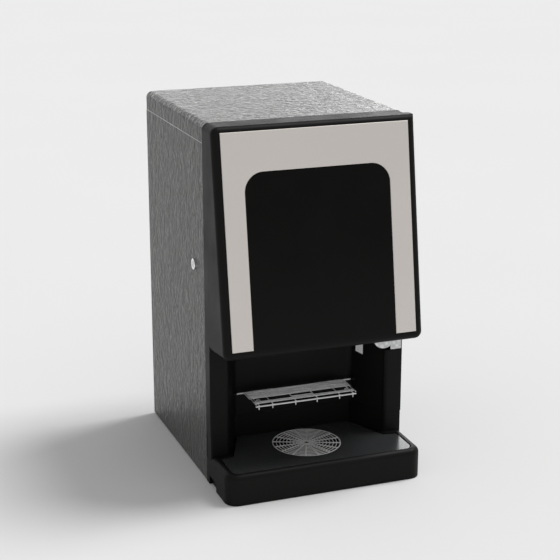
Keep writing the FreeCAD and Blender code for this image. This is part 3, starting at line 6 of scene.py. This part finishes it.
import bmesh
import bpy
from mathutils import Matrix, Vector


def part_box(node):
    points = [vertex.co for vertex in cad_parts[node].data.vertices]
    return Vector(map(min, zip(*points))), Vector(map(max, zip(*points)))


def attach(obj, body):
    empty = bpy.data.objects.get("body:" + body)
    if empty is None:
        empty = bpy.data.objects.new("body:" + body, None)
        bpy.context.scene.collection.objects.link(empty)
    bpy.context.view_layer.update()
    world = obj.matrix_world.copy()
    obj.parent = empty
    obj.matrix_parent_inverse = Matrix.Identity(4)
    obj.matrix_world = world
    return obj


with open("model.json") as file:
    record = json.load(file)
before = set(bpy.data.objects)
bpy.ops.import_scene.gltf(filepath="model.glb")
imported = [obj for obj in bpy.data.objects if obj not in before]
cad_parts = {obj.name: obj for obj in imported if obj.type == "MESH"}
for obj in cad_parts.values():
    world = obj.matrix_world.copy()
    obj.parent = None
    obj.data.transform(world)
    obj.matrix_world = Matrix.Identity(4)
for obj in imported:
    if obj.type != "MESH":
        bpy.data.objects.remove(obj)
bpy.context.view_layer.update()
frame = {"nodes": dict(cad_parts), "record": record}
NODES = frame["nodes"]


def add_object(name, data):
    """Makes an object and puts it in the scene."""
    thing = bpy.data.objects.new(name, data)
    bpy.context.scene.collection.objects.link(thing)
    return thing


def aim(thing, at, to):
    """Puts a lamp or camera at one point and turns it to look at another."""
    thing.location = at
    thing.rotation_euler = (Vector(to) - Vector(at)).to_track_quat("-Z", "Y").to_euler()


# ---------------------------------------------------------------- material helpers

class Material:
    """A node material on a Principled shader, with short calls for its texture nodes."""

    def __init__(self, name, **sockets):
        self.data = bpy.data.materials.new(name)
        self.data.use_nodes = True
        self.tree = self.data.node_tree
        self.shader = self.tree.nodes["Principled BSDF"]
        self.coords = self.tree.nodes.new("ShaderNodeTexCoord").outputs["Object"]
        self.normal = None
        for socket, value in sockets.items():
            self.shader.inputs[socket.replace("_", " ")].default_value = value

    def link(self, source, target):
        self.tree.links.new(source, target)

    def mapping(self, scale, turn=(0, 0, 0)):
        node = self.tree.nodes.new("ShaderNodeMapping")
        node.inputs["Scale"].default_value = scale
        node.inputs["Rotation"].default_value = turn
        self.link(self.coords, node.inputs["Vector"])
        return node.outputs["Vector"]

    def noise(self, scale, detail=2.0, roughness=0.5, vector=None, distortion=0.0):
        node = self.tree.nodes.new("ShaderNodeTexNoise")
        node.inputs["Scale"].default_value = scale
        node.inputs["Detail"].default_value = detail
        node.inputs["Roughness"].default_value = roughness
        node.inputs["Distortion"].default_value = distortion
        self.link(vector or self.coords, node.inputs["Vector"])
        return node.outputs["Fac"]

    def cells(self, scale, feature="F1"):
        node = self.tree.nodes.new("ShaderNodeTexVoronoi")
        node.feature = feature
        node.inputs["Scale"].default_value = scale
        self.link(self.coords, node.inputs["Vector"])
        return node.outputs["Distance"]

    def ramp(self, factor, *stops):
        node = self.tree.nodes.new("ShaderNodeValToRGB")
        elements = node.color_ramp.elements
        while len(elements) < len(stops):
            elements.new(0.5)
        for element, (place, colour) in zip(elements, stops):
            element.position = place
            element.color = (*colour, 1.0)
        self.link(factor, node.inputs["Fac"])
        return node.outputs["Color"]

    def spread(self, factor, low, high, start=0.0, end=1.0):
        node = self.tree.nodes.new("ShaderNodeMapRange")
        for socket, value in zip(
            ("From Min", "From Max", "To Min", "To Max"), (start, end, low, high)
        ):
            node.inputs[socket].default_value = value
        self.link(factor, node.inputs["Value"])
        return node.outputs["Result"]

    def math(self, operation, first, second=0.0):
        node = self.tree.nodes.new("ShaderNodeMath")
        node.operation = operation
        for socket, value in zip(node.inputs, (first, second)):
            if isinstance(value, (int, float)):
                socket.default_value = value
            else:
                self.link(value, socket)
        return node.outputs["Value"]

    def mix(self, factor, first, second):
        node = self.tree.nodes.new("ShaderNodeMix")
        node.data_type = "RGBA"
        sockets = (node.inputs[0], node.inputs[6], node.inputs[7])
        for socket, value in zip(sockets, (factor, first, second)):
            if hasattr(value, "is_linked"):
                self.link(value, socket)
            elif hasattr(value, "__len__"):
                socket.default_value = (*value, 1.0)
            else:
                socket.default_value = value
        return node.outputs[2]

    def bump(self, height, strength, distance):
        node = self.tree.nodes.new("ShaderNodeBump")
        node.inputs["Strength"].default_value = strength
        node.inputs["Distance"].default_value = distance
        self.link(height, node.inputs["Height"])
        if self.normal is not None:
            self.link(self.normal, node.inputs["Normal"])
        self.normal = node.outputs["Normal"]
        self.link(self.normal, self.shader.inputs["Normal"])

    def into(self, socket, source):
        self.link(source, self.shader.inputs[socket])


def shades(colour, *factors):
    """The same colour at several brightnesses."""
    return [tuple(channel * factor for channel in colour) for factor in factors]


def wrinkle_coat(name, colour):
    """Wrinkled, leather-like coat on sheet metal: soft folds, fine grain, a metallic sheen and
    painted shade along the creases.
    """
    m = Material(name, Metallic=0.40, Specular_IOR_Level=0.32)
    slant = (0.30, 0.15, 0.0)
    wide, narrow = m.mapping((1.0, 1.0, 0.55), slant), m.mapping((1.0, 1.0, 0.6), slant)
    folds = m.noise(scale=46.0, detail=3.0, roughness=0.5, vector=wide, distortion=1.6)
    ripples = m.noise(scale=120.0, detail=2.0, roughness=0.5, vector=narrow, distortion=1.2)
    creases = m.math("ABSOLUTE", m.math("SUBTRACT", folds, 0.5))
    fine = m.noise(scale=1100.0, detail=3.0, roughness=0.62)
    dark, base, light = shades(colour, 0.80, 1.0, 1.25)
    speck = m.ramp(fine, (0.33, dark), (0.5, base), (0.68, light))
    # Painted shade: the colour darkens towards the dark shade along the crease lines of the
    # folds.
    painted_crease_shade = m.spread(creases, low=0.45, high=0.0, start=0.0, end=0.05)
    m.into("Base Color", m.mix(painted_crease_shade, speck, dark))
    m.into("Roughness", m.spread(ripples, low=0.26, high=0.46, start=0.3, end=0.7))
    m.bump(folds, strength=0.8, distance=0.0045)
    m.bump(ripples, strength=0.5, distance=0.0012)
    m.bump(fine, strength=0.22, distance=0.0003)
    return m.data


def moulded(name, colour, roughness, spec=0.5):
    """Injection-moulded plastic with a spark-eroded grain and faint wear."""
    m = Material(name, Specular_IOR_Level=spec)
    fine = m.noise(scale=1500.0, detail=2.0, roughness=0.55)
    broad = m.noise(scale=11.0, detail=4.0, roughness=0.55)
    dark, base, light = shades(colour, 0.86, 1.0, 1.18)
    grained = m.ramp(fine, (0.35, dark), (0.65, base))
    worn = m.spread(broad, low=0.0, high=0.5, start=0.3, end=0.75)
    m.into("Base Color", m.mix(worn, grained, light))
    gloss = m.spread(broad, low=roughness - 0.05, high=roughness + 0.07, start=0.3, end=0.7)
    m.into("Roughness", gloss)
    m.bump(fine, strength=0.22, distance=0.00025)
    return m.data


def enamel(name, colour, roughness):
    """Smooth baked enamel with a slight orange peel."""
    m = Material(name, Specular_IOR_Level=0.3)
    peel = m.noise(scale=420.0, detail=2.0, roughness=0.5)
    broad = m.noise(scale=9.0, detail=3.0, roughness=0.5)
    base, light = shades(colour, 1.0, 1.15)
    worn = m.spread(broad, low=0.0, high=1.0, start=0.35, end=0.7)
    m.into("Base Color", m.mix(worn, base, light))
    gloss = m.spread(broad, low=roughness - 0.03, high=roughness + 0.06, start=0.3, end=0.7)
    m.into("Roughness", gloss)
    m.bump(peel, strength=0.05, distance=0.0003)
    return m.data


def metallic_paint(name, colour):
    """Silver paint with small metal flakes."""
    m = Material(name, Metallic=0.35, Specular_IOR_Level=0.5)
    flake = m.cells(2600.0)
    broad = m.noise(scale=5.0, detail=2.0, roughness=0.5)
    low, base, high = shades(colour, 0.93, 1.0, 1.07)
    paint = m.ramp(flake, (0.1, high), (0.45, base), (0.8, low))
    worn = m.spread(broad, low=0.0, high=0.4, start=0.35, end=0.7)
    m.into("Base Color", m.mix(worn, paint, low))
    m.into("Roughness", m.spread(flake, low=0.34, high=0.44, start=0.0, end=0.8))
    m.bump(flake, strength=0.04, distance=0.00012)
    return m.data


def smoked_gloss(name, colour):
    """A smoked acrylic front: nearly black, polished, with faint handling haze."""
    m = Material(name, Specular_IOR_Level=0.12)
    haze = m.noise(scale=16.0, detail=5.0, roughness=0.6)
    wave = m.noise(scale=3.0, detail=1.0, roughness=0.4)
    base, light = shades(colour, 1.0, 1.5)
    worn = m.spread(haze, low=0.0, high=0.6, start=0.45, end=0.8)
    m.into("Base Color", m.mix(worn, base, light))
    m.into("Roughness", m.spread(haze, low=0.13, high=0.22, start=0.35, end=0.75))
    m.bump(wave, strength=0.05, distance=0.002)
    return m.data


def brushed(name, colour, along="x", roughness=0.3, grain=900.0, metallic=1.0):
    """Brushed metal: long fine streaks along one direction."""
    m = Material(name, Metallic=metallic, Anisotropic=0.4)
    squeeze = {"x": (0.03, 1, 1), "y": (1, 0.03, 1), "z": (1, 1, 0.03)}[along]
    streak = m.noise(scale=grain, detail=3.0, roughness=0.6, vector=m.mapping(squeeze))
    broad = m.noise(scale=14.0, detail=3.0, roughness=0.5)
    dark, dull, light = shades(colour, 0.86, 0.92, 1.08)
    streaked = m.ramp(streak, (0.3, dark), (0.7, light))
    worn = m.spread(broad, low=0.0, high=0.35, start=0.35, end=0.7)
    m.into("Base Color", m.mix(worn, streaked, dull))
    gloss = m.spread(streak, low=roughness - 0.07, high=roughness + 0.1, start=0.3, end=0.7)
    m.into("Roughness", gloss)
    m.bump(streak, strength=0.08, distance=0.0001)
    return m.data


def polished(name, colour):
    """Bright plated metal with faint smears and scratches."""
    m = Material(name, Metallic=1.0)
    smear = m.noise(scale=38.0, detail=4.0, roughness=0.6)
    drawn = m.mapping((1, 0.1, 1), (0.3, 0.2, 0.6))
    scratch = m.noise(scale=700.0, detail=2.0, roughness=0.5, vector=drawn)
    dark, light = shades(colour, 0.93, 1.03)
    m.into("Base Color", m.ramp(smear, (0.35, dark), (0.65, light)))
    m.into("Roughness", m.spread(smear, low=0.1, high=0.19, start=0.35, end=0.75))
    m.bump(scratch, strength=0.02, distance=0.00005)
    return m.data


def spangled(name, colour, roughness=0.36):
    """Zinc-coated sheet with faint crystals."""
    m = Material(name, Metallic=0.9)
    crystal = m.cells(150.0)
    fine = m.noise(scale=800.0, detail=2.0, roughness=0.5)
    dark, base, light = shades(colour, 0.84, 1.0, 1.12)
    m.into("Base Color", m.ramp(crystal, (0.1, light), (0.4, base), (0.75, dark)))
    gloss = m.spread(crystal, low=roughness, high=roughness + 0.16, start=0.0, end=0.8)
    m.into("Roughness", gloss)
    m.bump(fine, strength=0.06, distance=0.0001)
    return m.data


def soft_rubber(name, colour):
    """Matt rubber or silicone with a little dust."""
    m = Material(name, Specular_IOR_Level=0.35)
    fine = m.noise(scale=900.0, detail=3.0, roughness=0.6)
    dust = m.noise(scale=45.0, detail=4.0, roughness=0.6)
    base, light = shades(colour, 1.0, 1.9)
    m.into("Base Color", m.ramp(dust, (0.4, base), (0.75, light)))
    m.into("Roughness", m.spread(dust, low=0.6, high=0.82, start=0.3, end=0.7))
    m.bump(fine, strength=0.2, distance=0.0003)
    return m.data


def clear(name, colour):
    """Half-clear container plastic."""
    m = Material(name, Specular_IOR_Level=0.5, Alpha=0.5)
    haze = m.noise(scale=30.0, detail=3.0, roughness=0.55)
    base, dark = shades(colour, 1.0, 0.88)
    m.into("Base Color", m.ramp(haze, (0.35, base), (0.7, dark)))
    m.into("Roughness", m.spread(haze, low=0.14, high=0.3, start=0.3, end=0.7))
    m.bump(m.noise(scale=250.0, detail=2.0, roughness=0.5), strength=0.03, distance=0.0003)
    return m.data


def frosted_lamp(name, colour, glow):
    """A ribbed, frosted window with a weak glow of its own."""
    m = Material(name, Roughness=0.35, Emission_Strength=glow)
    m.shader.inputs["Emission Color"].default_value = (*colour, 1.0)
    ribs = m.noise(scale=260.0, detail=2.0, roughness=0.5, vector=m.mapping((1, 1, 0.1)))
    low, high = shades(colour, 0.88, 1.0)
    m.into("Base Color", m.ramp(ribs, (0.35, low), (0.65, high)))
    m.bump(ribs, strength=0.2, distance=0.0004)
    return m.data


def circuit_board(name):
    """Green solder mask with lighter tracks."""
    m = Material(name, Specular_IOR_Level=0.5)
    tracks = m.cells(95.0, "DISTANCE_TO_EDGE")
    fine = m.noise(scale=600.0, detail=2.0, roughness=0.5)
    m.into("Base Color", m.ramp(tracks, (0.02, (0.02, 0.13, 0.05)), (0.05, (0.01, 0.06, 0.025))))
    m.into("Roughness", m.spread(fine, low=0.3, high=0.45, start=0.3, end=0.7))
    m.bump(tracks, strength=0.15, distance=0.0003)
    return m.data


BLACK = (0.0052, 0.0050, 0.0047)
LOOKS = {
    "case_grey": wrinkle_coat("case_grey_coat", (0.066, 0.066, 0.063)),
    "black_plastic": moulded("black_moulded", BLACK, 0.48, spec=0.12),
    "black_enamel": enamel("tray_enamel", (0.030, 0.031, 0.032), 0.20),
    "silver_panel": metallic_paint("silver_paint", (0.73, 0.685, 0.645)),
    "screen": smoked_gloss("smoked_screen", (0.0016, 0.0015, 0.0012)),
    "steel": brushed("brushed_steel", (0.66, 0.65, 0.64)),
    "chrome": polished("bright_chrome", (0.90, 0.90, 0.91)),
    "zinc": spangled("zinc_plate", (0.66, 0.66, 0.67)),
    "rubber": soft_rubber("foot_rubber", (0.010, 0.010, 0.010)),
    "grey_plastic": moulded("grey_moulded", (0.24, 0.245, 0.25), 0.45),
    "clear_plastic": clear("clear_container", (0.72, 0.75, 0.77)),
    "light_plastic": frosted_lamp("lamp_window", (0.62, 0.62, 0.62), 0.18),
    "brass": brushed("turned_brass", (0.62, 0.44, 0.19), "z", 0.28, 500.0),
    "circuit": circuit_board("circuit_board"),
    "silicone": soft_rubber("silicone_hose", (0.55, 0.54, 0.50)),
    "galvanised": spangled("galvanised_sheet", (0.50, 0.51, 0.52), 0.42),
}
NODE_LOOKS = {
    "drip_grid": brushed("grid_steel", (0.95, 0.95, 0.94), "x", 0.32, 700.0, 0.25),
    "cup_shelf": brushed("shelf_wire", (0.95, 0.95, 0.96), "x", 0.22, 700.0, 0.35),
    "lock_plug": brushed("lock_face", (0.86, 0.86, 0.86), "z", 0.24, 600.0, 0.7),
}
SLOT_OF = {entry["node"]: entry["material_slot"] for entry in frame["record"]["subparts"]}
for label, thing in NODES.items():
    thing.data.materials.clear()
    thing.data.materials.append(NODE_LOOKS.get(label, LOOKS[SLOT_OF[label]]))


# ---------------------------------------------------------------- pieces

BEAD_RADIUS = 0.0006
BEAD_SIDES = 12
BEAD_DROP = 0.0003
BEAD_TAPER = 0.002
BEAD_TIP = 0.55
FRONT_GAP = 0.001
REAR_GAP = 0.004
# Bright metal for the seam beads, which paint the edge highlight under the top cover.
HIGHLIGHT_BEAD_METAL = brushed("painted_edge_highlight", (0.72, 0.72, 0.71), "y", 0.34, 800.0, 0.5)


def highlight_bead(name, panel, side):
    """A thin bright metal bead along the top of a side panel, under the top cover: a painted
    highlight standing in for the light edge line there.
    """
    low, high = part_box(panel)
    outer = low[0] if side < 0 else high[0]
    centre_x = outer - side * BEAD_RADIUS
    start, end, height = low[1] + FRONT_GAP, high[1] - REAR_GAP, high[2] - BEAD_DROP
    build = bmesh.new()
    rings = []
    turns = [2 * math.pi * i / BEAD_SIDES for i in range(BEAD_SIDES)]
    for y in (start, start + BEAD_TAPER, end - BEAD_TAPER, end):
        radius = BEAD_RADIUS * (BEAD_TIP if y in (start, end) else 1.0)
        rings.append([build.verts.new((
            centre_x + radius * math.cos(turn), y, height + radius * math.sin(turn),
        )) for turn in turns])
    for near, far in zip(rings, rings[1:]):
        for i in range(BEAD_SIDES):
            following = (i + 1) % BEAD_SIDES
            build.faces.new((near[i], near[following], far[following], far[i]))
    build.faces.new(rings[0])
    build.faces.new(rings[-1])
    bmesh.ops.recalc_face_normals(build, faces=build.faces)
    mesh = bpy.data.meshes.new(name)
    build.to_mesh(mesh)
    build.free()
    for face in mesh.polygons:
        face.use_smooth = len(face.vertices) == 4
    bead = add_object(name, mesh)
    mesh.materials.append(HIGHLIGHT_BEAD_METAL)
    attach(bead, "cabinet")


# Painted highlights: a bright bead along the top edge of each side panel.
highlight_bead("left_seam_highlight", "left_side_panel", -1)
highlight_bead("right_seam_highlight", "right_side_panel", 1)


# ---------------------------------------------------------------- stage

CAMERA_AT = (-0.9977, -2.6805, 1.2197)
CAMERA_TO = (-0.0497, -0.1315, 0.4034)
LENS = 93.30
SENSOR = 36.0
CLIP_END = 60.0
FLOOR_REACH = 40.0
WORLD_STRENGTH = 0.50


def floor_material():
    """An even, matt, light grey floor."""
    m = Material("studio_floor", Roughness=0.9, Specular_IOR_Level=0.0)
    broad = m.noise(scale=1.2, detail=2.0, roughness=0.5)
    m.into("Base Color", m.ramp(broad, (0.3, (0.80, 0.80, 0.80)), (0.7, (0.81, 0.81, 0.81))))
    return m.data


def studio_floor():
    """A wide level floor that fills the view behind the object."""
    mesh = bpy.data.meshes.new("studio_floor")
    corners = [
        (x * FLOOR_REACH, y * FLOOR_REACH, 0) for x, y in ((-1, -1), (1, -1), (1, 1), (-1, 1))
    ]
    build = bmesh.new()
    build.faces.new([build.verts.new(corner) for corner in corners])
    build.to_mesh(mesh)
    build.free()
    ground = add_object("studio_floor", mesh)
    mesh.materials.append(floor_material())


def sun_light(name, elevation, bearing, softness, strength):
    """A far soft light: elevation above the floor and bearing from +X, both in degrees."""
    data = bpy.data.lights.new(name, "SUN")
    data.angle = math.radians(softness)
    data.energy = strength
    lamp = add_object(name, data)
    up, side = math.radians(elevation), math.radians(bearing)
    toward = Vector((math.cos(up) * math.cos(side), math.cos(up) * math.sin(side), math.sin(up)))
    lamp.rotation_euler = (-toward).to_track_quat("-Z", "Y").to_euler()


def softbox(name, at, to, size, power):
    """A softbox behind the object that only gives its glossy surfaces a sheen."""
    data = bpy.data.lights.new(name, "AREA")
    data.shape = "RECTANGLE"
    data.size, data.size_y = size
    data.energy = power
    lamp = add_object(name, data)
    aim(lamp, at, to)
    lamp.visible_diffuse = False
    lamp.visible_camera = False


def studio():
    """Floor, even surrounding light, key light and two softboxes."""
    studio_floor()
    world = bpy.data.worlds.new("studio")
    world.use_nodes = True
    shade = world.node_tree.nodes["Background"]
    shade.inputs["Color"].default_value = (1.0, 1.0, 1.0, 1.0)
    shade.inputs["Strength"].default_value = WORLD_STRENGTH
    bpy.context.scene.world = world
    sun_light("key", elevation=60, bearing=2, softness=24, strength=1.98)
    softbox("rear_softbox", (1.0, 3.8, 1.15), (0.0, 0.0, 0.7), size=(4.2, 1.1), power=35)
    softbox("side_softbox", (2.55, 3.7, 2.0), (0.0, 0.0, 0.4), size=(1.3, 1.1), power=17)
    bpy.context.scene.view_settings.view_transform = "Standard"


def camera():
    """The view used when no other is asked for."""
    data = bpy.data.cameras.new("photo_view")
    data.lens = LENS
    data.sensor_width = SENSOR
    data.clip_end = CLIP_END
    eye = add_object("photo_view", data)
    aim(eye, CAMERA_AT, CAMERA_TO)
    bpy.context.scene.camera = eye


studio()
camera()
